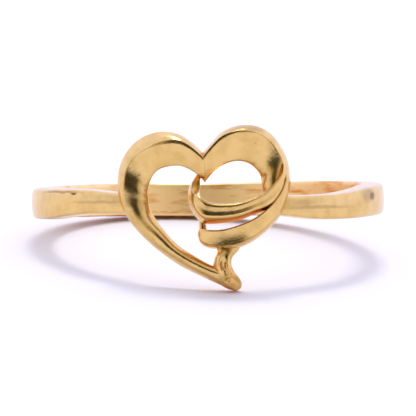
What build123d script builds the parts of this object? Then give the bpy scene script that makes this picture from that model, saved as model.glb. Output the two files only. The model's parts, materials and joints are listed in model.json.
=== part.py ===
from build123d import *
import math
import os
from collections import namedtuple

# A gold ring whose head is a pierced heart of sweeping ribbons, cast and soldered into one piece.
# It is modelled with the finger axis along Z and the heart facing -Y, and then laid on its side,
# where it rests on the tip of the heart's tail and on the back of the shank.

# Sizes of the shank, in millimetres
inner_diameter = 16.8
shank_thickness = 1.25
shank_crown = 0.05
shank_width = 1.9
shank_outer_round = 0.28
shank_inner_round = 0.19
bore_stock = 0.05

# Sizes of the heart, in millimetres
heart_width = 9.25
heart_height = 8.83
heart_thickness = 1.5
heart_aside = -0.21
heart_lift = -0.08
heart_clearance = 0.3
dome_gain = 2.0
lip_width = 0.09
groove_depth = 0.05
swoosh_clearance = 0.3

# Where the shank's ends stop behind the heart's limbs, as shares of the heart's width
left_end = -0.355
right_end = 0.315

inner_radius = inner_diameter / 2
cast_radius = inner_radius - bore_stock
outer_radius = inner_radius + shank_thickness
heart_seat = inner_radius + heart_clearance
dome_radius = inner_radius + dome_gain

# A section of the shank, at a share of the way round from the left end to the right one. Its width
# and the lift of its middle are shares of the shank's width.
Band = namedtuple("Band", "place width lift")
SHANK = [
    Band(0.00, 0.63, 0.04),
    Band(0.06, 0.74, 0.10),
    Band(0.13, 0.85, 0.08),
    Band(0.21, 0.91, 0.04),
    Band(0.35, 0.97, 0.03),
    Band(0.50, 1.00, -0.04),
    Band(0.65, 1.00, 0.01),
    Band(0.78, 0.93, 0.02),
    Band(0.87, 0.90, 0.00),
    Band(0.91, 0.82, -0.07),
    Band(0.94, 0.73, -0.08),
    Band(1.00, 0.60, -0.03),
]
shank_steps = 18

# A cut across a ribbon runs from its side a to its side b. Both ends are shares of the heart's
# width (u, to the right) and height (v, up), measured from the middle of the heart.
Cut = namedtuple("Cut", "a_u a_v b_u b_v")

# The front of a ribbon at a cut, by the number of the cut. ridge is the ridge's place as a share of
# the way across, and the others are heights over the back as shares of the heart's thickness: at
# side a, at the ridge, at a third and two thirds of the face beyond it, and at side b.
Front = namedtuple("Front", "cut ridge side_a top third two_thirds side_b")

# The left limb, from the notch round the left lobe and down to the tail, side a outside
LEFT_CUTS = [
    Cut(-0.002, 0.319, 0.008, 0.135),
    Cut(-0.059, 0.379, -0.047, 0.193),
    Cut(-0.139, 0.433, -0.130, 0.236),
    Cut(-0.231, 0.451, -0.211, 0.232),
    Cut(-0.329, 0.429, -0.263, 0.210),
    Cut(-0.416, 0.366, -0.298, 0.166),
    Cut(-0.477, 0.265, -0.316, 0.106),
    Cut(-0.499, 0.147, -0.319, 0.058),
    Cut(-0.488, 0.033, -0.314, 0.006),
    Cut(-0.440, -0.076, -0.289, -0.057),
    Cut(-0.360, -0.180, -0.233, -0.141),
    Cut(-0.256, -0.279, -0.156, -0.231),
    Cut(-0.138, -0.366, -0.065, -0.298),
    Cut(-0.018, -0.431, 0.020, -0.350),
    Cut(0.067, -0.474, 0.092, -0.385),
    Cut(0.118, -0.500, 0.131, -0.413),
]
LEFT_FRONTS = [
    Front(0, 0.25, 0.55, 0.95, 0.90, 0.72, 0.50),
    Front(2, 0.33, 0.55, 1.00, 0.93, 0.74, 0.48),
    Front(4, 0.34, 0.55, 1.00, 0.91, 0.73, 0.48),
    Front(6, 0.24, 0.60, 0.94, 0.96, 0.80, 0.50),
    Front(8, 0.17, 0.62, 0.84, 0.98, 0.90, 0.50),
    Front(10, 0.20, 0.55, 0.80, 0.99, 0.98, 0.50),
    Front(12, 0.14, 0.45, 0.66, 0.92, 0.90, 0.45),
    Front(14, 0.10, 0.36, 0.52, 0.70, 0.70, 0.40),
    Front(15, 0.10, 0.30, 0.40, 0.48, 0.46, 0.36),
]

# The right limb, from the notch round the right lobe to under the swoosh, side a outside
RIGHT_CUTS = [
    Cut(-0.002, 0.319, 0.008, 0.135),
    Cut(0.044, 0.377, 0.065, 0.205),
    Cut(0.114, 0.446, 0.123, 0.243),
    Cut(0.212, 0.481, 0.195, 0.261),
    Cut(0.313, 0.474, 0.258, 0.246),
    Cut(0.398, 0.421, 0.300, 0.211),
    Cut(0.458, 0.334, 0.327, 0.166),
    Cut(0.491, 0.248, 0.332, 0.112),
    Cut(0.501, 0.157, 0.344, 0.045),
]
RIGHT_FRONTS = [
    Front(0, 0.25, 0.55, 0.95, 0.90, 0.72, 0.50),
    Front(2, 0.25, 0.55, 1.00, 0.94, 0.74, 0.46),
    Front(4, 0.17, 0.55, 0.98, 0.88, 0.68, 0.44),
    Front(5, 0.16, 0.58, 0.95, 0.88, 0.68, 0.44),
    Front(6, 0.16, 0.60, 0.95, 0.95, 0.82, 0.50),
    Front(7, 0.16, 0.58, 0.92, 0.88, 0.76, 0.50),
    Front(8, 0.16, 0.55, 0.88, 0.84, 0.70, 0.46),
]

# The swoosh, from the right limb across the heart and up to the notch, side a on the crest's side
SWOOSH_CUTS = [
    Cut(0.460, 0.251, 0.479, 0.203),
    Cut(0.452, 0.191, 0.472, 0.128),
    Cut(0.417, 0.140, 0.451, 0.056),
    Cut(0.356, 0.081, 0.395, -0.016),
    Cut(0.275, 0.038, 0.297, -0.058),
    Cut(0.183, 0.012, 0.187, -0.097),
    Cut(0.085, 0.010, 0.072, -0.112),
    Cut(0.022, 0.022, -0.011, -0.105),
    Cut(-0.016, 0.056, -0.060, -0.053),
    Cut(-0.024, 0.090, -0.089, 0.015),
    Cut(-0.018, 0.112, -0.091, 0.083),
    Cut(-0.020, 0.139, -0.077, 0.128),
    Cut(-0.016, 0.163, -0.057, 0.164),
    Cut(0.010, 0.191, -0.024, 0.210),
]
SWOOSH_FRONTS = [
    Front(0, 0.10, 0.50, 0.80, 0.78, 0.74, 0.60),
    Front(1, 0.08, 0.70, 1.00, 0.95, 0.88, 0.66),
    Front(2, 0.06, 0.90, 1.18, 1.10, 1.00, 0.70),
    Front(4, 0.05, 1.10, 1.38, 1.33, 1.28, 0.76),
    Front(7, 0.05, 1.12, 1.40, 1.35, 1.31, 0.78),
    Front(8, 0.10, 1.02, 1.34, 1.27, 1.19, 0.76),
    Front(9, 0.26, 0.80, 1.22, 1.12, 0.98, 0.70),
    Front(10, 0.56, 0.62, 1.06, 0.98, 0.86, 0.66),
    Front(11, 0.74, 0.48, 0.80, 0.76, 0.70, 0.58),
    Front(12, 0.74, 0.38, 0.56, 0.52, 0.48, 0.42),
    Front(13, 0.70, 0.30, 0.38, 0.36, 0.34, 0.32),
]

# The lower crescent, from the right limb to its round end behind the post, side a outside
CRESCENT_CUTS = [
    Cut(0.478, 0.268, 0.440, 0.252),
    Cut(0.501, 0.169, 0.469, 0.179),
    Cut(0.498, 0.094, 0.460, 0.114),
    Cut(0.475, 0.011, 0.435, 0.058),
    Cut(0.432, -0.084, 0.378, -0.010),
    Cut(0.328, -0.189, 0.291, -0.077),
    Cut(0.211, -0.257, 0.198, -0.119),
    Cut(0.099, -0.264, 0.100, -0.144),
    Cut(0.018, -0.243, 0.031, -0.145),
    Cut(-0.021, -0.212, -0.009, -0.140),
    Cut(-0.036, -0.170, -0.028, -0.144),
]
CRESCENT_FRONTS = [
    Front(0, 0.40, 0.34, 0.56, 0.60, 0.60, 0.56),
    Front(1, 0.36, 0.54, 0.90, 0.93, 0.94, 0.90),
    Front(2, 0.32, 0.56, 0.94, 1.02, 1.06, 1.02),
    Front(4, 0.18, 0.52, 0.88, 1.08, 1.16, 1.12),
    Front(6, 0.12, 0.48, 0.86, 1.14, 1.14, 1.00),
    Front(8, 0.12, 0.45, 0.78, 1.02, 1.02, 0.92),
    Front(10, 0.25, 0.42, 0.60, 0.68, 0.70, 0.66),
]

# The strut and the flared tail, from the crescent down to the tip, side a on the left
TAIL_CUTS = [
    Cut(0.053, -0.237, 0.220, -0.236),
    Cut(0.072, -0.276, 0.193, -0.279),
    Cut(0.060, -0.309, 0.164, -0.311),
    Cut(0.048, -0.347, 0.154, -0.344),
    Cut(0.043, -0.384, 0.159, -0.378),
    Cut(0.054, -0.436, 0.179, -0.416),
    Cut(0.095, -0.489, 0.200, -0.444),
    Cut(0.144, -0.513, 0.211, -0.477),
    Cut(0.177, -0.521, 0.204, -0.507),
]
TAIL_FRONTS = [
    Front(0, 0.80, 0.40, 0.60, 0.58, 0.54, 0.44),
    Front(2, 0.68, 0.50, 0.80, 0.72, 0.74, 0.54),
    Front(3, 0.60, 0.52, 0.86, 0.70, 0.78, 0.55),
    Front(4, 0.50, 0.54, 0.86, 0.66, 0.76, 0.54),
    Front(5, 0.32, 0.50, 0.80, 0.62, 0.70, 0.50),
    Front(6, 0.22, 0.44, 0.70, 0.56, 0.62, 0.46),
    Front(8, 0.20, 0.30, 0.42, 0.42, 0.40, 0.34),
]

# The short post that ties the swoosh to the crescent, side a on the left
POST_CUTS = [
    Cut(-0.028, -0.073, 0.014, -0.080),
    Cut(-0.029, -0.115, 0.011, -0.118),
    Cut(-0.030, -0.157, 0.014, -0.156),
]
POST_FRONTS = [
    Front(0, 0.30, 0.45, 0.62, 0.62, 0.58, 0.42),
    Front(2, 0.30, 0.45, 0.62, 0.62, 0.58, 0.42),
]

# How far a ribbon's back is tucked in from each side, and how far its rim swells, as shares
TUCK = 0.10
RIM_SWELL = 0.16

# Where the lying ring's turn is first looked for, and how closely, in degrees
first_lean = 5
first_step = 4
last_step = 0.005

OUTWARD = Vector(0, -1, 0)


def row_at(rows, place):
    """The row of a table at a place, worked out between the rows given before and after it."""
    for row, following in zip(rows, rows[1:]):
        if place <= following[0]:
            share = (place - row[0]) / (following[0] - row[0])
            return type(row)(*(p + (q - p) * share for p, q in zip(row, following)))
    return rows[-1]


def on_dome(u, v):
    """The point of the heart's domed back at shares u and v."""
    along = u * heart_width
    drop = dome_radius - math.sqrt(dome_radius ** 2 - along ** 2)
    return Vector(heart_aside + along, drop - heart_seat, heart_lift + v * heart_height)


def ribbon_section(cut, front, back):
    """One closed section of a ribbon, standing on the heart's domed back."""
    start = on_dome(cut.a_u, cut.a_v)
    across = on_dome(cut.b_u, cut.b_v) - start

    def at(share, height):
        return start + across * share + OUTWARD * height

    lip = min(lip_width / across.length, (1 - front.ridge) / 4)
    ridge = front.ridge + lip
    face = (1 - ridge) / 3
    side_a = at(0, front.side_a * heart_thickness)
    groove = at(front.ridge, front.top * heart_thickness - groove_depth)
    swell = (OUTWARD - across.normalized()).normalized() * (groove - side_a).length * RIM_SWELL
    crest = at(ridge, front.top * heart_thickness)
    third = at(ridge + face, front.third * heart_thickness)
    two_thirds = at(ridge + 2 * face, front.two_thirds * heart_thickness)
    side_b = at(1, front.side_b * heart_thickness)
    back_a = at(TUCK, back)
    back_b = at(1 - TUCK, back)
    return Wire([
        Edge.make_line(back_a, side_a),
        Edge.make_three_point_arc(side_a, (side_a + groove) * 0.5 + swell, groove),
        Edge.make_line(groove, crest),
        Edge.make_spline([crest, third, two_thirds, side_b]),
        Edge.make_line(side_b, back_b),
        Edge.make_line(back_b, back_a),
    ])


def ribbon(cuts, fronts, back=0):
    """A ribbon of the heart, lofted through its sections."""
    return Solid.make_loft([ribbon_section(cut, row_at(fronts, n), back) for n, cut in enumerate(cuts)])


def shank_section(turn, band):
    """One rounded section of the shank, at a turn in radians from its back."""
    radial = Vector(math.sin(turn), math.cos(turn), 0)
    half = band.width * shank_width / 2
    middle = band.lift * shank_width
    inner_round = min(shank_inner_round, shank_thickness / 3, half / 2)
    outer_round = min(shank_outer_round, shank_thickness / 2, half / 2)
    slack = 1 - math.sqrt(0.5)

    def at(radius, height):
        return radial * radius + Vector(0, 0, middle + height)

    def corner(radius, depth, side, rounding):
        bend = at(radius + depth * slack * rounding, side * (half - slack * rounding))
        return at(radius, side * (half - rounding)), bend, at(radius + depth * rounding, side * half)

    top_in = corner(cast_radius, 1, 1, inner_round)
    top_out = corner(outer_radius, -1, 1, outer_round)
    low_in = corner(cast_radius, 1, -1, inner_round)
    low_out = corner(outer_radius, -1, -1, outer_round)
    return Wire([
        Edge.make_line(low_in[0], top_in[0]),
        Edge.make_three_point_arc(*top_in),
        Edge.make_line(top_in[2], top_out[2]),
        Edge.make_three_point_arc(*reversed(top_out)),
        Edge.make_three_point_arc(top_out[0], at(outer_radius + shank_crown, 0), low_out[0]),
        Edge.make_three_point_arc(*low_out),
        Edge.make_line(low_out[2], low_in[2]),
        Edge.make_three_point_arc(*reversed(low_in)),
    ])


def shank():
    """The band, from behind the left limb round the back to behind the right one, bored to size."""
    start = -math.pi - math.asin((heart_aside + left_end * heart_width) / inner_radius)
    end = math.pi - math.asin((heart_aside + right_end * heart_width) / inner_radius)
    places = [step / shank_steps for step in range(shank_steps + 1)]
    cast = Solid.make_loft([shank_section(start + (end - start) * p, row_at(SHANK, p)) for p in places])
    return cast - Cylinder(inner_radius, 3 * shank_width)


def ring():
    """The whole ring, cast and soldered into one solid, upright on its finger axis."""
    heart = ribbon(LEFT_CUTS, LEFT_FRONTS) + ribbon(RIGHT_CUTS, RIGHT_FRONTS)
    heart += ribbon(SWOOSH_CUTS, SWOOSH_FRONTS, swoosh_clearance)
    heart += ribbon(CRESCENT_CUTS, CRESCENT_FRONTS)
    heart += ribbon(TAIL_CUTS, TAIL_FRONTS)
    heart += ribbon(POST_CUTS, POST_FRONTS)
    return heart + shank()


def lying_turn(body):
    """The lean and roll, in degrees, at which the body's centre of mass is lowest on the floor."""
    centre = body.center(CenterOf.MASS)
    points = [tuple(point - centre) for point in body.tessellate(0.02)[0]]

    def height(turn):
        lean, roll = (math.radians(angle) for angle in turn)
        up = (-math.sin(roll), -math.cos(roll) * math.sin(lean), math.cos(roll) * math.cos(lean))
        return -min(x * up[0] + y * up[1] + z * up[2] for x, y, z in points)

    best = (first_lean, 0)
    step = first_step
    while step > last_step:
        around = [(best[0] + i * step, best[1] + j * step) for i in (0, 1, -1) for j in (0, 1, -1)]
        better = min(around, key=height)
        if better == best:
            step /= 2
        best = better
    return best


def laid_down(body):
    """The body as it lies on the floor, the middle of its footprint at the origin."""
    lean, roll = lying_turn(body)
    lying = body.rotate(Axis.X, -lean).rotate(Axis.Y, roll)
    box = lying.bounding_box()
    return Pos(-box.center().X, -box.center().Y, -box.min.Z) * lying


os.makedirs("parts", exist_ok=True)
export_step(laid_down(ring()), "parts/ring.step")
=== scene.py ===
"""The looks of the gold ring with a pierced heart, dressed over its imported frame."""

import json
import math
from collections import namedtuple

import bpy
from mathutils import Matrix, Vector, noise


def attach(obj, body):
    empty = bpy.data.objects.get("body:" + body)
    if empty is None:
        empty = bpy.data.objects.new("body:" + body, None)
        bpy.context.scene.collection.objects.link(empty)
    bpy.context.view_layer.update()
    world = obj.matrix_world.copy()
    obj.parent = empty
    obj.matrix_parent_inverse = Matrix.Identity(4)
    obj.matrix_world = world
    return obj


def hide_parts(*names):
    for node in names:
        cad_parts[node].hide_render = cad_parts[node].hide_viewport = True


bl_info = {
    "name": "Gold ring with a pierced heart",
    "version": (1, 0, 0),
    "blender": (4, 5, 0),
    "location": "3D View > Sidebar > Ring",
    "description": "Models a worn gold ring with a heart of sweeping ribbons, and the studio round it",
    "category": "Object",
}

# Millimetres in a metre
MM = 1000

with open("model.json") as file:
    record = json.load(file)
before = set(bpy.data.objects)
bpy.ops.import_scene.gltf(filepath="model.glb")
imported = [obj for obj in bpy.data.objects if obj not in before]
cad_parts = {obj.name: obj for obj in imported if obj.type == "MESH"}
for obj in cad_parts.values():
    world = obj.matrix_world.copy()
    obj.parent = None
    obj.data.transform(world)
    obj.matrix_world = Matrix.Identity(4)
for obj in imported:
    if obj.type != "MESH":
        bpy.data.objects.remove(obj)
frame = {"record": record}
finger = next(m for m in frame["record"]["mounts"] if m["name"] == "finger")

# The ring lies on its side. Its own frame has the finger's axis along Z and the heart facing -Y,
# and this turn carries it to where the CAD ring lies.
axis = Vector(finger["axis"])
LYING = (
    Matrix.Translation(finger["pos_m"])
    @ Matrix.Rotation(math.atan2(axis.x, axis.z), 4, "Y")
    @ Matrix.Rotation(-math.asin(axis.y), 4, "X")
)
OUTWARD = Vector((0, -1, 0))

# A section of the shank, at a share of the way round from the left end to the right one. Its width
# and the lift of its middle are shares of the shank's width.
Band = namedtuple("Band", "place width lift")
SHANK = [
    Band(0.00, 0.58, 0.01),
    Band(0.06, 0.71, 0.09),
    Band(0.13, 0.91, 0.03),
    Band(0.21, 0.93, 0.02),
    Band(0.35, 0.97, 0.03),
    Band(0.50, 1.00, -0.04),
    Band(0.65, 1.00, 0.01),
    Band(0.78, 0.95, 0.00),
    Band(0.83, 0.90, -0.04),
    Band(0.87, 0.82, -0.11),
    Band(0.91, 0.74, -0.16),
    Band(0.94, 0.70, -0.16),
    Band(1.00, 0.52, -0.07),
]

# A cut across a ribbon runs from its side a to its side b. Both ends are shares of the heart's
# width (u, to the right) and height (v, up), measured from the middle of the heart.
Cut = namedtuple("Cut", "a_u a_v b_u b_v")

# The front of a ribbon at a cut, by the number of the cut. ridge and flat are the ridge's place and
# the width of its flat top, as shares of the way across. The others are heights over the back as
# shares of the heart's thickness: at side a, at the ridge, at a third and two thirds of the face
# beyond it, and at side b.
Front = namedtuple("Front", "cut ridge side_a top third two_thirds side_b flat")

# How a ribbon's crest looks: crisp or softly rounded, and the depth of its groove or bead as a share
# of the groove's depth, with the cuts between which it shows
Look = namedtuple("Look", "crisp groove first last")

# The left limb, from the notch round the left lobe and down to the tail, side a outside
LEFT_CUTS = [
    Cut(0.008, 0.311, 0.018, 0.126),
    Cut(-0.059, 0.379, -0.047, 0.193),
    Cut(-0.139, 0.433, -0.130, 0.236),
    Cut(-0.231, 0.451, -0.211, 0.232),
    Cut(-0.329, 0.429, -0.263, 0.210),
    Cut(-0.416, 0.366, -0.298, 0.166),
    Cut(-0.477, 0.265, -0.316, 0.106),
    Cut(-0.499, 0.147, -0.319, 0.058),
    Cut(-0.488, 0.033, -0.314, 0.006),
    Cut(-0.440, -0.076, -0.289, -0.057),
    Cut(-0.360, -0.180, -0.233, -0.141),
    Cut(-0.256, -0.279, -0.156, -0.231),
    Cut(-0.138, -0.366, -0.065, -0.298),
    Cut(-0.018, -0.431, 0.020, -0.350),
    Cut(0.067, -0.474, 0.092, -0.385),
    Cut(0.118, -0.500, 0.131, -0.413),
]
LEFT_FRONTS = [
    Front(0, 0.17, 0.54, 0.96, 0.85, 0.72, 0.57, 0.12),
    Front(1, 0.18, 0.55, 1.00, 0.89, 0.76, 0.61, 0.14),
    Front(2, 0.20, 0.55, 1.01, 0.90, 0.76, 0.60, 0.14),
    Front(3, 0.27, 0.55, 1.01, 0.89, 0.73, 0.56, 0.11),
    Front(4, 0.32, 0.55, 0.98, 0.85, 0.68, 0.49, 0.05),
    Front(5, 0.27, 0.57, 0.93, 0.80, 0.65, 0.43, 0.04),
    Front(6, 0.22, 0.60, 0.95, 0.84, 0.70, 0.42, 0.03),
    Front(7, 0.21, 0.61, 1.01, 0.91, 0.78, 0.47, 0.03),
    Front(8, 0.18, 0.60, 0.95, 0.90, 0.73, 0.42, 0.03),
    Front(9, 0.18, 0.58, 0.86, 0.875, 0.74, 0.41, 0.03),
    Front(10, 0.27, 0.55, 0.88, 0.93, 0.85, 0.56, 0.03),
    Front(12, 0.36, 0.45, 0.86, 0.88, 0.81, 0.58, 0.03),
    Front(14, 0.34, 0.38, 0.70, 0.74, 0.73, 0.60, 0.03),
    Front(15, 0.30, 0.32, 0.50, 0.56, 0.56, 0.44, 0.03),
]

# The right limb, from the notch round the right lobe to under the swoosh, side a outside
RIGHT_CUTS = [
    Cut(-0.012, 0.309, -0.002, 0.124),
    Cut(0.044, 0.377, 0.065, 0.205),
    Cut(0.114, 0.446, 0.123, 0.243),
    Cut(0.212, 0.481, 0.195, 0.261),
    Cut(0.313, 0.474, 0.258, 0.246),
    Cut(0.398, 0.421, 0.300, 0.211),
    Cut(0.458, 0.334, 0.327, 0.166),
    Cut(0.491, 0.248, 0.332, 0.112),
    Cut(0.501, 0.157, 0.344, 0.045),
]
RIGHT_FRONTS = [
    Front(0, 0.14, 0.54, 0.96, 0.85, 0.72, 0.57, 0.12),
    Front(1, 0.12, 0.55, 1.00, 0.89, 0.77, 0.63, 0.14),
    Front(2, 0.13, 0.55, 1.01, 0.91, 0.79, 0.64, 0.11),
    Front(3, 0.15, 0.55, 1.00, 0.90, 0.76, 0.60, 0.06),
    Front(4, 0.17, 0.55, 0.98, 0.86, 0.70, 0.51, 0.03),
    Front(5, 0.16, 0.58, 0.94, 0.83, 0.66, 0.43, 0.03),
    Front(6, 0.16, 0.60, 0.98, 0.90, 0.78, 0.49, 0.03),
    Front(7, 0.16, 0.60, 0.99, 1.02, 0.93, 0.60, 0.03),
    Front(8, 0.16, 0.60, 0.96, 1.10, 1.04, 0.70, 0.03),
]

# The swoosh, from the right limb across the heart and up to the notch, side a on the crest's side
SWOOSH_CUTS = [
    Cut(0.460, 0.251, 0.479, 0.203),
    Cut(0.452, 0.191, 0.472, 0.128),
    Cut(0.417, 0.140, 0.451, 0.056),
    Cut(0.356, 0.081, 0.395, -0.016),
    Cut(0.275, 0.038, 0.297, -0.058),
    Cut(0.183, 0.012, 0.187, -0.097),
    Cut(0.085, 0.010, 0.072, -0.112),
    Cut(0.022, 0.022, -0.011, -0.105),
    Cut(-0.016, 0.056, -0.060, -0.053),
    Cut(-0.024, 0.090, -0.089, 0.015),
    Cut(-0.018, 0.112, -0.091, 0.083),
    Cut(-0.020, 0.139, -0.077, 0.128),
    Cut(-0.016, 0.163, -0.057, 0.164),
    Cut(0.010, 0.191, -0.024, 0.210),
]
SWOOSH_FRONTS = [
    Front(0, 0.10, 0.66, 1.08, 1.06, 1.00, 0.66, 0.10),
    Front(1, 0.08, 0.82, 1.20, 1.15, 1.06, 0.70, 0.10),
    Front(2, 0.06, 0.97, 1.27, 1.20, 1.13, 0.72, 0.10),
    Front(4, 0.05, 1.10, 1.38, 1.35, 1.33, 0.76, 0.10),
    Front(7, 0.05, 1.12, 1.40, 1.37, 1.34, 0.78, 0.10),
    Front(8, 0.10, 1.06, 1.34, 1.27, 1.20, 0.76, 0.09),
    Front(9, 0.30, 0.96, 1.20, 1.10, 0.96, 0.66, 0.08),
    Front(10, 0.62, 0.80, 0.98, 0.90, 0.78, 0.55, 0.06),
    Front(11, 0.78, 0.64, 0.77, 0.71, 0.62, 0.48, 0.04),
    Front(12, 0.78, 0.50, 0.56, 0.52, 0.46, 0.38, 0.04),
    Front(13, 0.60, 0.30, 0.38, 0.36, 0.34, 0.32, 0.04),
]

# The lower crescent, from the right limb to its round end behind the post, side a outside
CRESCENT_CUTS = [
    Cut(0.478, 0.268, 0.440, 0.252),
    Cut(0.501, 0.169, 0.469, 0.179),
    Cut(0.498, 0.094, 0.460, 0.114),
    Cut(0.475, 0.011, 0.435, 0.058),
    Cut(0.432, -0.084, 0.378, -0.010),
    Cut(0.328, -0.189, 0.291, -0.077),
    Cut(0.211, -0.257, 0.198, -0.119),
    Cut(0.099, -0.269, 0.100, -0.144),
    Cut(0.014, -0.256, 0.031, -0.145),
    Cut(-0.028, -0.224, -0.009, -0.138),
    Cut(-0.041, -0.176, -0.031, -0.140),
]
CRESCENT_FRONTS = [
    Front(0, 0.40, 0.34, 0.56, 0.60, 0.60, 0.56, 0.05),
    Front(1, 0.36, 0.54, 0.90, 0.93, 0.94, 0.90, 0.05),
    Front(2, 0.32, 0.56, 0.96, 1.00, 1.01, 1.00, 0.05),
    Front(3, 0.26, 0.54, 0.92, 1.01, 1.05, 1.06, 0.05),
    Front(4, 0.22, 0.52, 0.90, 1.02, 1.08, 1.11, 0.05),
    Front(5, 0.20, 0.50, 0.87, 0.94, 0.98, 1.01, 0.05),
    Front(6, 0.20, 0.48, 0.87, 0.875, 0.905, 0.958, 0.05),
    Front(7, 0.18, 0.46, 0.87, 0.88, 0.905, 0.945, 0.05),
    Front(8, 0.20, 0.45, 0.80, 0.83, 0.87, 0.91, 0.05),
    Front(10, 0.25, 0.42, 0.60, 0.66, 0.70, 0.66, 0.05),
]

# The strut and the flared tail, from the crescent down to the tip, side a on the left
TAIL_CUTS = [
    Cut(0.053, -0.237, 0.220, -0.236),
    Cut(0.072, -0.276, 0.193, -0.279),
    Cut(0.060, -0.309, 0.164, -0.311),
    Cut(0.048, -0.347, 0.154, -0.344),
    Cut(0.043, -0.384, 0.159, -0.378),
    Cut(0.054, -0.436, 0.179, -0.416),
    Cut(0.095, -0.489, 0.200, -0.444),
    Cut(0.144, -0.513, 0.211, -0.477),
    Cut(0.177, -0.521, 0.204, -0.507),
]
TAIL_FRONTS = [
    Front(0, 0.25, 0.50, 0.62, 0.66, 0.62, 0.42, 0.03),
    Front(1, 0.25, 0.52, 0.68, 0.70, 0.66, 0.44, 0.03),
    Front(2, 0.27, 0.52, 0.77, 0.72, 0.72, 0.50, 0.03),
    Front(3, 0.30, 0.44, 0.80, 0.67, 0.77, 0.52, 0.03),
    Front(4, 0.30, 0.36, 0.80, 0.65, 0.78, 0.54, 0.03),
    Front(5, 0.28, 0.30, 0.74, 0.68, 0.70, 0.60, 0.03),
    Front(6, 0.26, 0.28, 0.66, 0.66, 0.56, 0.60, 0.03),
    Front(7, 0.24, 0.28, 0.52, 0.50, 0.48, 0.46, 0.03),
    Front(8, 0.20, 0.30, 0.42, 0.42, 0.40, 0.34, 0.03),
]

# The short post that ties the swoosh to the crescent, side a on the left
POST_CUTS = [
    Cut(-0.028, -0.073, 0.014, -0.080),
    Cut(-0.029, -0.115, 0.011, -0.118),
    Cut(-0.030, -0.157, 0.014, -0.156),
]
POST_FRONTS = [
    Front(0, 0.30, 0.34, 0.46, 0.46, 0.42, 0.32, 0.10),
    Front(2, 0.30, 0.34, 0.46, 0.46, 0.42, 0.32, 0.10),
]

# A mark or a painted shade on the outside, in millimetres in the ring's own frame: its middle, half its
# width and height, and how dark it is as a share. The nick and the worn spot come first, and the soft
# streaks after them are painted shade. The last two are on the heart: the right lobe's rim and the
# crescent's face, both painted darker reflections, the crescent's partly tarnish.
MarkOrShade = namedtuple("MarkOrShade", "x y z wide high dark")
MARKS_AND_PAINTED_SHADE = [
    MarkOrShade(-7.2, -6.3, 0.62, 0.20, 0.07, 1.0),
    MarkOrShade(8.95, -3.6, 0.18, 0.22, 0.28, 0.7),
    MarkOrShade(8.70, -4.1, 0.25, 0.55, 0.50, 0.35),
    # Painted shade along the band: a soft shadow line under the left top edge, then soft shade streaks
    MarkOrShade(-8.0, -5.4, 0.70, 1.90, 0.09, 0.5),
    MarkOrShade(6.10, -7.4, -0.30, 2.70, 0.14, 0.28),
    MarkOrShade(5.20, -8.1, -0.05, 0.70, 0.22, 0.18),
    MarkOrShade(-6.0, -7.4, 0.16, 2.00, 0.12, 0.25),
    # Painted shade on the heart: a darker reflection on the right lobe's rim, and on the crescent's face,
    # partly tarnish
    MarkOrShade(2.10, -9.9, 3.95, 1.40, 0.30, 0.32),
    MarkOrShade(1.30, -9.9, -1.95, 1.30, 0.55, 0.20),
]

# A mark's or painted shade's reach along Y, which keeps it on one side of the ring, and how far noise bends
# its outline, in millimetres
MARK_OR_SHADE_REACH = 3.0
MARK_OR_SHADE_BEND = 0.2
BENDS_PER_MM = 1.3

# The rough hollow at the tail's end, where a file hasn't reached: its middle and half its size, in
# millimetres in the ring's own frame
HOLLOW_MIDDLE = (1.25, -9.5, -3.8)
HOLLOW_SIZE = (0.5, 1.5, 0.75)

# The patterns of the finish, by how many of each there are to a millimetre
DRIFTS_PER_MM = 1.6
STREAKS_PER_MM = (0.5, 0.5, 2.4)
PITS_PER_MM = 2.6
GRAINS_PER_MM = 5.0
CAST_GRAINS_PER_MM = 7.0
HAIRS_PER_MM = (20, 2, 20)
HAIRS_TURN = (0.3, 0.5, 0.4)

# Where the patterns show. Each is a range of noise, or of what the comment says, and the share that it is
# turned into, which is 0 to 1 where nothing else is said.
DRIFT_SHOWS = {"From Min": 0.40, "From Max": 0.68}
STREAK_SHOWS = {"From Min": 0.50, "From Max": 0.74}
HAIR_SHOWS = {"From Min": 0.3, "From Max": 0.7}

# The deeper gold inside the band towards its right shoulder, by millimetres along X
SHOULDER_SHOWS = {"From Min": 4, "From Max": 6, "To Min": 0, "To Max": 0.35}

# The painted shade of deeper gold in crevices, by how open they are
CREVICE_SHADE_SHOWS = {"From Min": 0.35, "From Max": 0.8, "To Min": 0.8, "To Max": 0}

# The edge of a mark or painted shade, whose darkness is its own, and of the rough hollow, by shares of their
# size
MARK_OR_SHADE_EDGE = {"From Min": 0.4, "From Max": 1, "To Max": 0}
HOLLOW_EDGE = {"From Min": 0.6, "From Max": 1, "To Min": 1, "To Max": 0}

# The edge of a pit, by the distance from its middle, and the pits that are kept, by a number that each
# has by chance
PIT_EDGE = {"From Min": 0.03, "From Max": 0.09, "To Min": 1, "To Max": 0}
PITS_KEPT = {"From Min": 0.35, "From Max": 0.4}

# How strongly the deeper gold shows as painted shade in pits, and in the rough hollow, as shares
PIT_SHADE = 0.8
HOLLOW_DEEP = 0.3

# How much of the polished gold's red, green and blue is left where it has gone dull
DULLED = (0.87, 0.84, 0.73)

# The sockets for colours on a Mix node
COLOUR_A = 6
COLOUR_B = 7
COLOUR_OUT = 2

# How deep the finish's bumps are, and how wide a crevice is, in metres
GRAIN_DEPTH = 0.000016
HAIR_DEPTH = 0.000009
PIT_DEPTH = 0.00002
CAST_DEPTH = 0.00006
CREVICE = 0.0008

# How the hairlines change the roughness of the polished gold, as shares of it
HAIR_ROUGHNESS = (0.8, 1.3)

# How much rougher the satin inside of the band is, and where the gold there turns from satin into
# polished, in millimetres outside the bore
SATIN_ROUGHNESS = 0.22
SATIN_ENDS = (0.03, 0.1)

# Hand polishing leaves waves some 0.7 mm long and a few thousandths of a millimetre deep
WAVES_PER_METRE = 1400
WAVE_DEPTH = 0.000004

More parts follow.
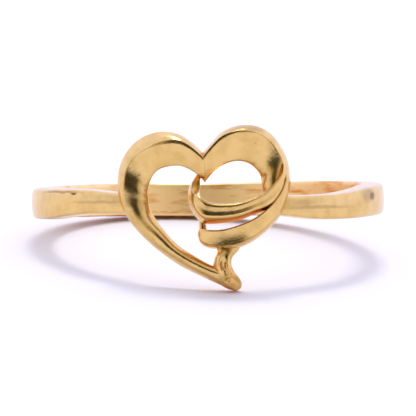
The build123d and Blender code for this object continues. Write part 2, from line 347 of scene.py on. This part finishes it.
# How far a ribbon's back is tucked in from each side, and how far its rim swells, as shares
TUCK = 0.10
RIM_SWELL = 0.16

# Where a soft ribbon's rim bends, as shares of the way to its ridge across and up
RIM_ACROSS = 0.45
RIM_UP = 0.66

# The section of the bead beside a soft ribbon's ridge: how far each point is before the ridge in halves
# of the bead's width, and how high in groove depths
BEAD = [(2, 0), (1.4, -0.5), (0.7, 1), (0, -0.5)]

# Where points are taken on a crisp ribbon's rim and on its face, which are smooth lines numbered by
# their own points
RIM_PLACES = (0.4, 0.8, 1.2, 1.6)
FACE_PLACES = (0.3, 0.65, 1.0, 1.4, 1.8, 2.2, 2.6)

# How far the arc of each rounded corner reaches from the corner, in metres, and at most as a share of
# the line beside it
BACK_ARC = 0.00008
SIDE_A_ARC = 0.00008
RIM_ARC = 0.0002
GROOVE_ARC = 0.00003
CRISP_CREST_ARC = 0.00004
SOFT_CREST_ARC = 0.00012
FACE_ARC = 0.0003
SIDE_B_ARC = 0.00009
ARC_LIMIT = 0.4

# Sections modelled from each cut to the next, and round the whole shank, and the levels of rounding
CUT_STEPS = 5
SHANK_STEPS = 120
ROUNDING = 2

# Points nearer than this are merged, in metres
WELD = 0.0000005

# The picture's width in pixels, and how many of them go to a millimetre at the ring
PICTURE_PX = 416
PX_PER_MM = 18.1

# What the camera looks at in the ring's own frame, and the nearest and furthest that it sees
CAMERA_TARGET = (0, 0, -0.00038)
CAMERA_NEAR = 0.01
CAMERA_FAR = 10

# The floor is matt paper, which takes a soft shadow and shows no reflection
PAPER_ROUGHNESS = 0.9

# The softbox overhead, for the bright lines along the crests
SOFTBOX_PLACE = (0, 0.13, 0.48)
SOFTBOX_TURN = (-0.264, 0, 0)
SOFTBOX_SIZE = 0.14
SOFTBOX_WATTS = 0.7

# The light of the room, by how nearly a direction points at the camera: from 0, which is at the sides
# and behind, to 1. It is pale all round and dark on the camera's side, which polished gold shows as
# its dark reflections.
ROOM = [
    (0.0, (1.12, 1.16, 1.58)),
    (0.45, (0.91, 0.92, 1.20)),
    (0.80, (0.69, 0.63, 0.47)),
    (0.94, (0.04, 0.04, 0.03)),
]


def length(name, default, description):
    """A size that a user can change, in metres."""
    return bpy.props.FloatProperty(
        name=name, description=description, default=default, unit="LENGTH", precision=6, step=0.001
    )


def share(name, default, description):
    """A setting from 0 to 1."""
    return bpy.props.FloatProperty(name=name, description=description, default=default, min=0, max=1)


def colour(name, default, description):
    """A colour that a user can change."""
    return bpy.props.FloatVectorProperty(
        name=name, description=description, default=default, subtype="COLOR", size=3, min=0, max=1
    )


def linear(text):
    """A colour written as sRGB hex, as the linear values that the shaders take."""
    parts = [int(text[i : i + 2], 16) / 255 for i in (0, 2, 4)]
    return tuple(p / 12.92 if p <= 0.04045 else ((p + 0.055) / 1.055) ** 2.4 for p in parts)


class HeartSizes(bpy.types.PropertyGroup):
    """The sizes of the heart and its ribbons."""

    width: length("Width", 0.00925, "Width of the heart over its two lobes")
    height: length("Height", 0.00883, "Height of the heart from its lobes to the tail's tip")
    thickness: length("Thickness", 0.0015, "Height of the ribbons' crests over the heart's back")
    aside: length("Aside", -0.00021, "How far the heart's middle is set to the right of the shank's")
    lift: length("Lift", -0.00008, "How far the heart's middle is set over the shank's")
    clearance: length("Clearance", 0.0003, "Room between the finger and the heart's back")
    dome_gain: length("Dome gain", 0.002, "How much flatter than the finger the heart is bent, as a radius")
    lip_width: length("Bead", 0.00005, "Half the width of the fine bead along the left limb's ridge")
    groove_depth: length("Groove", 0.00005, "Depth of the groove beside a crest")
    swoosh_clearance: length("Swoosh clearance", 0.0003, "How far the swoosh's back is off the heart's back")


class ShankSizes(bpy.types.PropertyGroup):
    """The sizes of the band round the finger."""

    inner_radius: length("Inner radius", finger["dims"]["r_mm"] / MM, "Radius of the finger's bore")
    thickness: length("Thickness", 0.00125, "Thickness of the band")
    crown: length("Crown", 0.00009, "How far the band's outside is domed")
    width: length("Width", 0.0019, "Width of the band at its back")
    outer_round: length("Outer rounding", 0.00042, "Rounding of the band's outer edges")
    inner_round: length("Inner rounding", 0.00014, "Rounding of the band's inner edges")
    left_end: bpy.props.FloatProperty(
        name="Left end",
        description="Where the band ends behind the left limb, as a share of the heart's width",
        default=-0.355,
    )
    right_end: bpy.props.FloatProperty(
        name="Right end",
        description="Where the band ends behind the right limb, as a share of the heart's width",
        default=0.315,
    )


class GoldFinish(bpy.types.PropertyGroup):
    """The colours and the wear of the gold."""

    polished: colour("Polished gold", linear("E6C07B"), "Colour of the polished gold")
    # The deeper gold is painted shade in crevices and pits, and also tints the streaks in the band and the
    # rough hollow
    deep: colour("Deep gold", linear("DE8E35"), "Colour of the gold in crevices, where it isn't rubbed")
    # The satin gold's paler colour is painted light, standing in for the light that the bore reflects
    satin_and_painted_light: colour("Satin gold", linear("FFE0A0"), "Colour of the satin gold inside the band")
    # The tarnish tint darkens the nick and the worn spot, and paints shade in the soft streaks and the
    # heart's patches
    tarnish_and_shade: colour("Tarnish", linear("7A6248"), "Tint of the nick, the worn spot and the dulled patches")
    roughness: share("Roughness", 0.19, "Roughness of the polished faces")
    worn: share("Wear", 0.5, "How strong the hairlines and the pits are")


class StudioSizes(bpy.types.PropertyGroup):
    """The floor and the camera."""

    floor: colour("Floor", linear("F3F1EE"), "Colour of the floor")
    floor_size: length("Floor size", 2.0, "Side of the floor")
    camera_distance: length("Camera distance", 0.25, "From the camera to the ring")
    view_width: length(
        "View width", PICTURE_PX / PX_PER_MM / MM, "Width that the picture takes in at the ring"
    )
    elevation: bpy.props.FloatProperty(
        name="Elevation",
        description="Angle of the camera over the plane of the band",
        default=math.radians(0.95),
        subtype="ANGLE",
    )
    roll: bpy.props.FloatProperty(
        name="Roll",
        description="Turn of the camera about its view",
        default=math.radians(-0.93),
        subtype="ANGLE",
    )


def row_at(rows, place):
    """The row of a table at a place, worked out between the rows given before and after it."""
    for row, following in zip(rows, rows[1:]):
        if place <= following[0]:
            part = (place - row[0]) / (following[0] - row[0])
            return type(row)(*(p + (q - p) * part for p, q in zip(row, following)))
    return rows[-1]


def through(points, place):
    """The point at a place on the smooth line through all the points, which are numbered from 0."""
    n = min(int(place), len(points) - 2)
    t = place - n
    before = points[n - 1] if n > 0 else points[0] * 2 - points[1]
    after = points[n + 2] if n + 2 < len(points) else points[-1] * 2 - points[-2]
    p, q = points[n], points[n + 1]
    bend = before * 2 - p * 5 + q * 4 - after
    twist = p * 3 - before - q * 3 + after
    return (p * 2 + (q - before) * t + bend * t ** 2 + twist * t ** 3) / 2


def deselected():
    """Leaves nothing selected, so that the next operator acts on its own piece alone."""
    if bpy.context.object and bpy.context.object.mode != "OBJECT":
        bpy.ops.object.mode_set(mode="OBJECT")
    bpy.ops.object.select_all(action="DESELECT")


def swept(name, loops):
    """A piece rolled up from a grid of faces, one row of its points to each closed section, and closed at
    both ends."""
    deselected()
    rows, columns = len(loops), len(loops[0])
    bpy.ops.mesh.primitive_grid_add(x_subdivisions=columns, y_subdivisions=rows - 1)
    piece = bpy.context.object
    piece.name = name
    for row, loop in enumerate(loops):
        for column in range(columns + 1):
            piece.data.vertices[row * (columns + 1) + column].co = loop[column % columns]
    bpy.ops.object.mode_set(mode="EDIT")
    bpy.ops.mesh.select_all(action="SELECT")
    bpy.ops.mesh.remove_doubles(threshold=WELD)
    bpy.ops.mesh.select_all(action="DESELECT")
    bpy.ops.mesh.select_non_manifold()
    bpy.ops.mesh.fill_holes(sides=0)
    bpy.ops.mesh.select_all(action="SELECT")
    bpy.ops.mesh.normals_make_consistent(inside=False)
    bpy.ops.object.mode_set(mode="OBJECT")
    return piece


def finished(piece):
    """Rounds the piece, lays it where the ring lies, and lets it ride on the ring's one body."""
    deselected()
    piece.select_set(True)
    bpy.context.view_layer.objects.active = piece
    rounding = piece.modifiers.new("Rounding", "SUBSURF")
    rounding.levels = ROUNDING
    rounding.render_levels = ROUNDING
    bpy.ops.object.modifier_apply(modifier=rounding.name)
    points = piece.data.vertices
    waved = [vert.co + vert.normal * noise.noise(vert.co * WAVES_PER_METRE) * WAVE_DEPTH for vert in points]
    points.foreach_set("co", [number for place in waved for number in place])
    piece.data.transform(LYING)
    piece.data.update()
    bpy.ops.object.shade_smooth()
    piece.data.materials.clear()
    piece.data.materials.append(worn_gold_with_painted_light())
    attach(piece, "root")
    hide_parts("ring")


def on_dome(sizes, u, v):
    """The point of the heart's domed back at shares u and v."""
    seat = bpy.context.scene.shank_sizes.inner_radius + sizes.clearance
    radius = bpy.context.scene.shank_sizes.inner_radius + sizes.dome_gain
    run = u * sizes.width
    drop = radius - math.sqrt(radius ** 2 - run ** 2)
    return Vector((sizes.aside + run, drop - seat, sizes.lift + v * sizes.height))


def softened(corners):
    """A closed line with each corner cut back to a small arc. A corner is its place and the arc's reach."""
    line = []
    for n, (place, reach) in enumerate(corners):
        if not reach:
            line.append(place)
            continue
        back = corners[n - 1][0] - place
        on = corners[(n + 1) % len(corners)][0] - place
        first = place + back.normalized() * min(reach, back.length * ARC_LIMIT)
        last = place + on.normalized() * min(reach, on.length * ARC_LIMIT)
        middle = (first + last) * 0.25 + place * 0.5
        line += [first, middle, last]
    return line


def ribbon_loop(sizes, cut, front, back, look):
    """One closed section of a ribbon, standing on the heart's domed back."""
    start = on_dome(sizes, cut.a_u, cut.a_v)
    across = on_dome(sizes, cut.b_u, cut.b_v) - start
    deep = sizes.thickness

    def at(part, height):
        return start + across * part + OUTWARD * height

    ridge = front.ridge + front.flat
    face = (1 - ridge) / 3
    side_a = at(0, front.side_a * deep)
    side_b = at(1, front.side_b * deep)
    crest = at(ridge, front.top * deep)
    third = at(ridge + face, front.third * deep)
    two_thirds = at(ridge + 2 * face, front.two_thirds * deep)
    corners = [(at(TUCK, back), BACK_ARC), (side_a, SIDE_A_ARC)]
    if look.crisp:
        groove = at(front.ridge, front.top * deep - sizes.groove_depth * look.groove)
        swell = (OUTWARD - across.normalized()).normalized() * (groove - side_a).length * RIM_SWELL
        rim = [side_a, (side_a + groove) * 0.5 + swell, groove]
        corners += [(through(rim, place), 0) for place in RIM_PLACES]
        corners += [(groove, GROOVE_ARC), (crest, CRISP_CREST_ARC)]
        corners += [(through([crest, third, two_thirds, side_b], place), 0) for place in FACE_PLACES]
    else:
        edge = at(front.ridge, front.top * deep)
        rim_height = front.side_a + (front.top - front.side_a) * RIM_UP
        rim = at(front.ridge * RIM_ACROSS, rim_height * deep)
        climb = (edge - rim).normalized() * sizes.lip_width
        rise = OUTWARD * (sizes.groove_depth * look.groove)
        corners.append((rim, RIM_ARC))
        corners += [(edge - climb * before + rise * high, 0) for before, high in BEAD]
        corners += [(edge + (crest - edge) * 0.5, 0), (crest, SOFT_CREST_ARC)]
        corners += [(third, FACE_ARC), (two_thirds, FACE_ARC)]
    corners += [(side_b, SIDE_B_ARC), (at(1 - TUCK, back), BACK_ARC)]
    return softened(corners)


def ribbon(name, cuts, fronts, look, back=0):
    """A ribbon of the heart, drawn out through its cuts."""
    sizes = bpy.context.scene.heart_sizes
    ends_a = [Vector((cut.a_u, cut.a_v)) for cut in cuts]
    ends_b = [Vector((cut.b_u, cut.b_v)) for cut in cuts]
    heights = [Vector(row_at(fronts, number)[1:]) for number in range(len(cuts))]
    loops = []
    for step in range((len(cuts) - 1) * CUT_STEPS + 1):
        place = step / CUT_STEPS
        cut = Cut(*through(ends_a, place), *through(ends_b, place))
        shown = min(max(min(place - look.first, look.last - place), 0), 1)
        front = Front(place, *through(heights, place))
        loops.append(ribbon_loop(sizes, cut, front, back, look._replace(groove=look.groove * shown)))
    finished(swept(name, loops))


def shank_loop(sizes, turn, band):
    """One rounded section of the shank, at a turn in radians from its back."""
    radial = Vector((math.sin(turn), math.cos(turn), 0))
    half = band.width * sizes.width / 2
    middle = band.lift * sizes.width
    outer = sizes.inner_radius + sizes.thickness

    def at(radius, height):
        return radial * radius + Vector((0, 0, middle + height))

    corners = [(at(sizes.inner_radius, -half), sizes.inner_round)]
    corners += [(at(sizes.inner_radius, part * half), 0) for part in (-0.5, 0, 0.5)]
    corners += [(at(sizes.inner_radius, half), sizes.inner_round)]
    corners += [(at(outer, half), sizes.outer_round)]
    corners += [(at(outer + sizes.crown * (1 - part ** 2), part * half), 0) for part in (0.5, 0, -0.5)]
    corners += [(at(outer, -half), sizes.outer_round)]
    return softened(corners)


class RING_OT_left_limb(bpy.types.Operator):
    """The limb that runs from the notch round the left lobe and down to the tail"""

    bl_idname = "ring.left_limb"
    bl_label = "Left limb"

    def execute(self, context):
        ribbon("left_limb", LEFT_CUTS, LEFT_FRONTS, Look(False, 0.5, 3, 10))
        return {"FINISHED"}


class RING_OT_right_limb(bpy.types.Operator):
    """The limb that runs from the notch round the right lobe to under the swoosh"""

    bl_idname = "ring.right_limb"
    bl_label = "Right limb"

    def execute(self, context):
        ribbon("right_limb", RIGHT_CUTS, RIGHT_FRONTS, Look(False, 0, 0, 8))
        return {"FINISHED"}


class RING_OT_swoosh(bpy.types.Operator):
    """The high ribbon that sweeps across the heart and hooks up to the notch"""

    bl_idname = "ring.swoosh"
    bl_label = "Swoosh"

    def execute(self, context):
        back = context.scene.heart_sizes.swoosh_clearance
        ribbon("swoosh", SWOOSH_CUTS, SWOOSH_FRONTS, Look(True, 0.5, 0, 12), back)
        return {"FINISHED"}


class RING_OT_crescent(bpy.types.Operator):
    """The crescent under the swoosh, which closes the heart's right side"""

    bl_idname = "ring.crescent"
    bl_label = "Crescent"

    def execute(self, context):
        ribbon("crescent", CRESCENT_CUTS, CRESCENT_FRONTS, Look(False, 0, 0, 10))
        return {"FINISHED"}


class RING_OT_tail(bpy.types.Operator):
    """The strut and the flared tail below the crescent"""

    bl_idname = "ring.tail"
    bl_label = "Tail"

    def execute(self, context):
        ribbon("tail", TAIL_CUTS, TAIL_FRONTS, Look(True, 0, 0, 8))
        return {"FINISHED"}


class RING_OT_post(bpy.types.Operator):
    """The short post that ties the swoosh to the crescent"""

    bl_idname = "ring.post"
    bl_label = "Post"

    def execute(self, context):
        ribbon("post", POST_CUTS, POST_FRONTS, Look(True, 0, 0, 2))
        return {"FINISHED"}


class RING_OT_shank(bpy.types.Operator):
    """The band round the finger, tapered towards the heart"""

    bl_idname = "ring.shank"
    bl_label = "Shank"

    def execute(self, context):
        sizes = context.scene.shank_sizes
        heart = context.scene.heart_sizes
        start = -math.pi - math.asin((heart.aside + sizes.left_end * heart.width) / sizes.inner_radius)
        end = math.pi - math.asin((heart.aside + sizes.right_end * heart.width) / sizes.inner_radius)
        places = [step / SHANK_STEPS for step in range(SHANK_STEPS + 1)]
        loops = [shank_loop(sizes, start + (end - start) * place, row_at(SHANK, place)) for place in places]
        finished(swept("shank", loops))
        return {"FINISHED"}


def added(tree, kind, settings=(), links=()):
    """A node of a kind in a tree, with its settings and what is linked to its inputs."""
    node = tree.nodes.new(kind)
    for key, value in dict(settings).items():
        if isinstance(key, str) and hasattr(node, key) and key not in node.inputs:
            setattr(node, key, value)
        else:
            node.inputs[key].default_value = value
    for key, source in dict(links).items():
        tree.links.new(source, node.inputs[key])
    return node


def distance_from(tree, place, middle, size):
    """How far a place is from a middle, in shares of a size along X, Y and Z."""
    off = added(tree, "ShaderNodeVectorMath", {"operation": "SUBTRACT", 1: middle}, {0: place})
    off = added(tree, "ShaderNodeVectorMath", {"operation": "DIVIDE", 1: size}, {0: off.outputs[0]})
    off = added(tree, "ShaderNodeVectorMath", {"operation": "LENGTH"}, {0: off.outputs[0]})
    return off.outputs["Value"]


def satin_bore(tree, mm):
    """1 inside the band and 0 elsewhere. The bore is only satin, because no polishing wheel gets at it, and
    its colour there is painted lighter.
    """
    bore = bpy.context.scene.shank_sizes.inner_radius * MM
    reach = added(tree, "ShaderNodeVectorMath", {"operation": "MULTIPLY", 1: (1, 1, 0)}, {0: mm})
    reach = added(tree, "ShaderNodeVectorMath", {"operation": "LENGTH"}, {0: reach.outputs[0]})
    ends = {"From Min": bore + SATIN_ENDS[0], "From Max": bore + SATIN_ENDS[1], "To Min": 1, "To Max": 0}
    return added(tree, "ShaderNodeMapRange", ends, {"Value": reach.outputs["Value"]}).outputs[0]


def casting_pits(tree, mm):
    """1 in the casting pits, which are some 0.06 mm across and less than one to a square millimetre."""
    cells = added(tree, "ShaderNodeTexVoronoi", {"Scale": PITS_PER_MM}, {"Vector": mm})
    number = added(tree, "ShaderNodeSeparateColor", {}, {0: cells.outputs["Color"]})
    kept = added(tree, "ShaderNodeMapRange", PITS_KEPT, {"Value": number.outputs[0]})
    near = added(tree, "ShaderNodeMapRange", PIT_EDGE, {"Value": cells.outputs["Distance"]})
    both = {0: near.outputs[0], 1: kept.outputs[0]}
    return added(tree, "ShaderNodeMath", {"operation": "MULTIPLY"}, both).outputs[0]


def gold_tone(tree, mm, satin_and_painted_light, pits, as_cast):
    """The colour of the gold all over the ring, with painted shade and painted light in it."""
    finish = bpy.context.scene.gold_finish
    # deep mixes in the deeper gold, which is painted shade in crevices and pits
    deep = {"data_type": "RGBA", COLOUR_B: (*finish.deep, 1)}

    # Tone drifts a little over a millimetre or so, where hands and cloth polish unevenly
    dull = [colour * left for colour, left in zip(finish.polished, DULLED)]
    golds = {"data_type": "RGBA", COLOUR_A: (*finish.polished, 1), COLOUR_B: (*dull, 1)}
    drift = added(tree, "ShaderNodeTexNoise", {"Scale": DRIFTS_PER_MM, "Detail": 6.0}, {"Vector": mm})
    drift = added(tree, "ShaderNodeMapRange", DRIFT_SHOWS, {"Value": drift.outputs["Fac"]})
    outside = added(tree, "ShaderNodeMix", golds, {0: drift.outputs[0]})

    # Streaks of deeper gold inside the band, and more of it towards the right shoulder, over the satin gold,
    # whose paler colour is painted light
    streak = added(tree, "ShaderNodeMapping", {"Scale": STREAKS_PER_MM}, {"Vector": mm})
    streak = added(tree, "ShaderNodeTexNoise", {"Scale": 1.0, "Detail": 4.0}, {"Vector": streak.outputs[0]})
    streak = added(tree, "ShaderNodeMapRange", STREAK_SHOWS, {"Value": streak.outputs["Fac"]})
    right = added(tree, "ShaderNodeSeparateXYZ", {}, {0: mm})
    right = added(tree, "ShaderNodeMapRange", SHOULDER_SHOWS, {"Value": right.outputs["X"]})
    both = {0: streak.outputs[0], 1: right.outputs[0]}
    dulled = added(tree, "ShaderNodeMath", {"operation": "ADD", "use_clamp": True}, both)
    inside = added(tree, "ShaderNodeMix", {**deep, COLOUR_A: (*finish.satin_and_painted_light, 1)}, {0: dulled.outputs[0]})
    both = {COLOUR_A: outside.outputs[COLOUR_OUT], COLOUR_B: inside.outputs[COLOUR_OUT]}
    # The bore takes the inside colour, with its painted light, and the rest takes the polished tone
    tone = added(tree, "ShaderNodeMix", {"data_type": "RGBA"}, {0: satin_and_painted_light, **both})

    # Painted shade: crevices take the deeper gold, as far as ambient occlusion finds them shut in
    crevice_shade = added(tree, "ShaderNodeAmbientOcclusion", {"samples": 8, "Distance": CREVICE})
    crevice_shade = added(tree, "ShaderNodeMapRange", CREVICE_SHADE_SHOWS, {"Value": crevice_shade.outputs["AO"]})
    tone = added(tree, "ShaderNodeMix", deep, {0: crevice_shade.outputs[0], COLOUR_A: tone.outputs[COLOUR_OUT]})

    # Painted shade: the pits show as darker specks
    pit_shade = added(tree, "ShaderNodeMath", {"operation": "MULTIPLY", 1: PIT_SHADE * finish.worn}, {0: pits})
    darker = {**deep, "blend_type": "MULTIPLY"}
    tone = added(tree, "ShaderNodeMix", darker, {0: pit_shade.outputs[0], COLOUR_A: tone.outputs[COLOUR_OUT]})

    # The nick and the worn spot, and the soft streaks and the darkened patches on the heart, which are
    # painted shade, with uneven outlines
    uneven = added(tree, "ShaderNodeTexNoise", {"Scale": BENDS_PER_MM, "Detail": 3.0}, {"Vector": mm})
    bend = {"operation": "MULTIPLY_ADD", 1: (MARK_OR_SHADE_BEND, MARK_OR_SHADE_BEND, MARK_OR_SHADE_BEND)}
    bent = added(tree, "ShaderNodeVectorMath", bend, {0: uneven.outputs["Color"], 2: mm})
    tint = {"data_type": "RGBA", "blend_type": "MULTIPLY", COLOUR_B: (*finish.tarnish_and_shade, 1)}
    for mark_or_shade in MARKS_AND_PAINTED_SHADE:
        middle = [along + MARK_OR_SHADE_BEND / 2 for along in (mark_or_shade.x, mark_or_shade.y, mark_or_shade.z)]
        distance = distance_from(tree, bent.outputs[0], middle, (mark_or_shade.wide, MARK_OR_SHADE_REACH, mark_or_shade.high))
        dark = added(tree, "ShaderNodeMapRange", {**MARK_OR_SHADE_EDGE, "To Min": mark_or_shade.dark}, {"Value": distance})
        tone = added(tree, "ShaderNodeMix", tint, {0: dark.outputs[0], COLOUR_A: tone.outputs[COLOUR_OUT]})

    # The hollow at the tail's end is left as cast, and yellower
    yellow = added(tree, "ShaderNodeMath", {"operation": "MULTIPLY", 1: HOLLOW_DEEP}, {0: as_cast})
    tone = added(tree, "ShaderNodeMix", deep, {0: yellow.outputs[0], COLOUR_A: tone.outputs[COLOUR_OUT]})
    return tone.outputs[COLOUR_OUT]


def gold_bumps(tree, mm, hairline, pits, as_cast):
    """The gold's fine relief, each bump laid over the one before: a broken grain, hairlines, pits and
    the cast skin in the hollow."""
    worn = bpy.context.scene.gold_finish.worn
    grain = added(tree, "ShaderNodeTexNoise", {"Scale": GRAINS_PER_MM, "Detail": 3.0}, {"Vector": mm})
    rub = {"Strength": worn, "Distance": GRAIN_DEPTH}
    bump = added(tree, "ShaderNodeBump", rub, {"Height": grain.outputs["Fac"]})
    scratch = {"Strength": worn, "Distance": HAIR_DEPTH}
    bump = added(tree, "ShaderNodeBump", scratch, {"Height": hairline, "Normal": bump.outputs[0]})
    pit = {"invert": True, "Strength": worn, "Distance": PIT_DEPTH}
    bump = added(tree, "ShaderNodeBump", pit, {"Height": pits, "Normal": bump.outputs[0]})
    grain = added(tree, "ShaderNodeTexNoise", {"Scale": CAST_GRAINS_PER_MM, "Detail": 2.0}, {"Vector": mm})
    skin = {"Height": grain.outputs["Fac"], "Strength": as_cast, "Normal": bump.outputs[0]}
    return added(tree, "ShaderNodeBump", {"Distance": CAST_DEPTH}, skin).outputs[0]


def worn_gold_with_painted_light():
    """Cast 14 carat yellow gold, polished by hand and then worn: glossy faces with fine hairlines and
    a few casting pits, which give soft-edged reflections with a slightly broken grain. Its colour also holds
    painted shade in crevices, pits, streaks and patches, and painted light on the bore."""
    found = bpy.data.materials.get("worn_gold_with_painted_light")
    if found:
        return found
    finish = bpy.context.scene.gold_finish
    material = bpy.data.materials.new("worn_gold_with_painted_light")
    material.use_nodes = True
    tree = material.node_tree
    tree.nodes.clear()
    output = added(tree, "ShaderNodeOutputMaterial")
    shader = added(tree, "ShaderNodeBsdfPrincipled", {"Metallic": 1.0})
    tree.links.new(shader.outputs[0], output.inputs[0])

    # The patterns' place is in millimetres, in the ring's own frame
    place = added(tree, "ShaderNodeTexCoord").outputs["Object"]
    ring = (Matrix.Scale(MM, 4) @ LYING.inverted()).decompose()
    turn = {"Location": ring[0], "Rotation": ring[1].to_euler(), "Scale": ring[2]}
    mm = added(tree, "ShaderNodeMapping", turn, {"Vector": place}).outputs[0]

    satin_and_painted_light = satin_bore(tree, mm)
    pits = casting_pits(tree, mm)
    off = distance_from(tree, mm, HOLLOW_MIDDLE, HOLLOW_SIZE)
    as_cast = added(tree, "ShaderNodeMapRange", HOLLOW_EDGE, {"Value": off}).outputs[0]
    tree.links.new(gold_tone(tree, mm, satin_and_painted_light, pits, as_cast), shader.inputs["Base Color"])

    # Hairlines, drawn 0.05 mm apart so that they show
    hairs = added(tree, "ShaderNodeMapping", {"Rotation": HAIRS_TURN, "Scale": HAIRS_PER_MM}, {"Vector": mm})
    hairs = added(tree, "ShaderNodeTexNoise", {"Scale": 1.0, "Detail": 2.0}, {"Vector": hairs.outputs[0]})
    hairline = hairs.outputs["Fac"]
    smooth, rough = (finish.roughness * part for part in HAIR_ROUGHNESS)
    spread = {**HAIR_SHOWS, "To Min": smooth, "To Max": rough}
    glossy = added(tree, "ShaderNodeMapRange", spread, {"Value": hairline})
    rougher = {"operation": "MULTIPLY_ADD", 1: SATIN_ROUGHNESS}
    roughness = added(tree, "ShaderNodeMath", rougher, {0: satin_and_painted_light, 2: glossy.outputs[0]})
    tree.links.new(roughness.outputs[0], shader.inputs["Roughness"])
    tree.links.new(gold_bumps(tree, mm, hairline, pits, as_cast), shader.inputs["Normal"])
    return material


class RING_OT_stage(bpy.types.Operator):
    """The pale floor, the studio's light and the camera"""

    bl_idname = "ring.stage"
    bl_label = "Stage"

    def execute(self, context):
        studio = context.scene.studio_sizes
        deselected()
        bpy.ops.mesh.primitive_plane_add(size=studio.floor_size)
        floor = context.object
        floor.name = "floor"
        paper = bpy.data.materials.new("matt_paper")
        paper.use_nodes = True
        shader = paper.node_tree.nodes["Principled BSDF"]
        shader.inputs["Base Color"].default_value = (*studio.floor, 1)
        shader.inputs["Roughness"].default_value = PAPER_ROUGHNESS
        floor.data.materials.append(paper)

        # The camera looks at the middle of the ring, a little over the plane of the band
        target = LYING @ Vector(CAMERA_TARGET)
        tilt = studio.elevation
        towards = (LYING.to_3x3() @ Vector((0, -math.cos(tilt), math.sin(tilt)))).normalized()
        up = (LYING.to_3x3() @ Vector((0, 0, 1))).normalized()
        side = up.cross(towards).normalized()
        turn = Matrix((side, towards.cross(side), towards)).transposed().to_4x4()
        bpy.ops.object.camera_add()
        camera = context.object
        camera.data.lens = camera.data.sensor_width * studio.camera_distance / studio.view_width
        camera.data.clip_start = CAMERA_NEAR
        camera.data.clip_end = CAMERA_FAR
        there = Matrix.Translation(target + towards * studio.camera_distance)
        camera.matrix_world = there @ turn @ Matrix.Rotation(studio.roll, 4, "Z")
        context.scene.camera = camera

        bpy.ops.object.light_add(type="AREA", location=SOFTBOX_PLACE, rotation=SOFTBOX_TURN)
        softbox = context.object
        softbox.name = "softbox"
        softbox.data.size = SOFTBOX_SIZE
        softbox.data.energy = SOFTBOX_WATTS

        # The gold's colours are matched to the photograph with no film curve
        context.scene.view_settings.view_transform = "Standard"

        world = bpy.data.worlds.new("studio")
        context.scene.world = world
        world.use_nodes = True
        tree = world.node_tree
        tree.nodes.clear()
        output = added(tree, "ShaderNodeOutputWorld")
        place = added(tree, "ShaderNodeTexCoord").outputs["Generated"]
        facing = added(tree, "ShaderNodeVectorMath", {"operation": "DOT_PRODUCT", 1: towards}, {0: place})
        ramp = added(tree, "ShaderNodeValToRGB", {}, {0: facing.outputs["Value"]})
        first, *middle, last = ROOM
        for element, (position, tint) in zip(ramp.color_ramp.elements, (first, last)):
            element.position = position
            element.color = (*tint, 1)
        for position, tint in middle:
            ramp.color_ramp.elements.new(position).color = (*tint, 1)
        light = added(tree, "ShaderNodeBackground", {"Strength": 1.0}, {0: ramp.outputs[0]})
        tree.links.new(light.outputs[0], output.inputs[0])
        return {"FINISHED"}


PIECES = [
    RING_OT_left_limb,
    RING_OT_right_limb,
    RING_OT_swoosh,
    RING_OT_crescent,
    RING_OT_tail,
    RING_OT_post,
    RING_OT_shank,
    RING_OT_stage,
]
GROUPS = {
    "heart_sizes": HeartSizes,
    "shank_sizes": ShankSizes,
    "gold_finish": GoldFinish,
    "studio_sizes": StudioSizes,
}


class RING_PT_panel(bpy.types.Panel):
    """Lists the ring's sizes, its finish and its pieces"""

    bl_label = "Gold ring"
    bl_idname = "RING_PT_panel"
    bl_space_type = "VIEW_3D"
    bl_region_type = "UI"
    bl_category = "Ring"

    def draw(self, context):
        for name, group in GROUPS.items():
            box = self.layout.box()
            box.label(text=name.replace("_", " ").capitalize())
            for key in group.__annotations__:
                box.prop(getattr(context.scene, name), key)
        for piece in PIECES:
            self.layout.operator(piece.bl_idname)


def register():
    """Adds the sizes, the operators and the panel to Blender."""
    for name, group in GROUPS.items():
        bpy.utils.register_class(group)
        setattr(bpy.types.Scene, name, bpy.props.PointerProperty(type=group))
    for piece in PIECES:
        bpy.utils.register_class(piece)
    bpy.utils.register_class(RING_PT_panel)


def unregister():
    """Takes the panel, the operators and the sizes away again."""
    bpy.utils.unregister_class(RING_PT_panel)
    for piece in reversed(PIECES):
        bpy.utils.unregister_class(piece)
    for name, group in GROUPS.items():
        delattr(bpy.types.Scene, name)
        bpy.utils.unregister_class(group)


def main():
    """Makes every piece and the stage."""
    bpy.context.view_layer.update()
    register()
    bpy.ops.ring.left_limb()
    bpy.ops.ring.right_limb()
    bpy.ops.ring.swoosh()
    bpy.ops.ring.crescent()
    bpy.ops.ring.tail()
    bpy.ops.ring.post()
    bpy.ops.ring.shank()
    bpy.ops.ring.stage()


if __name__ == "__main__":
    main()
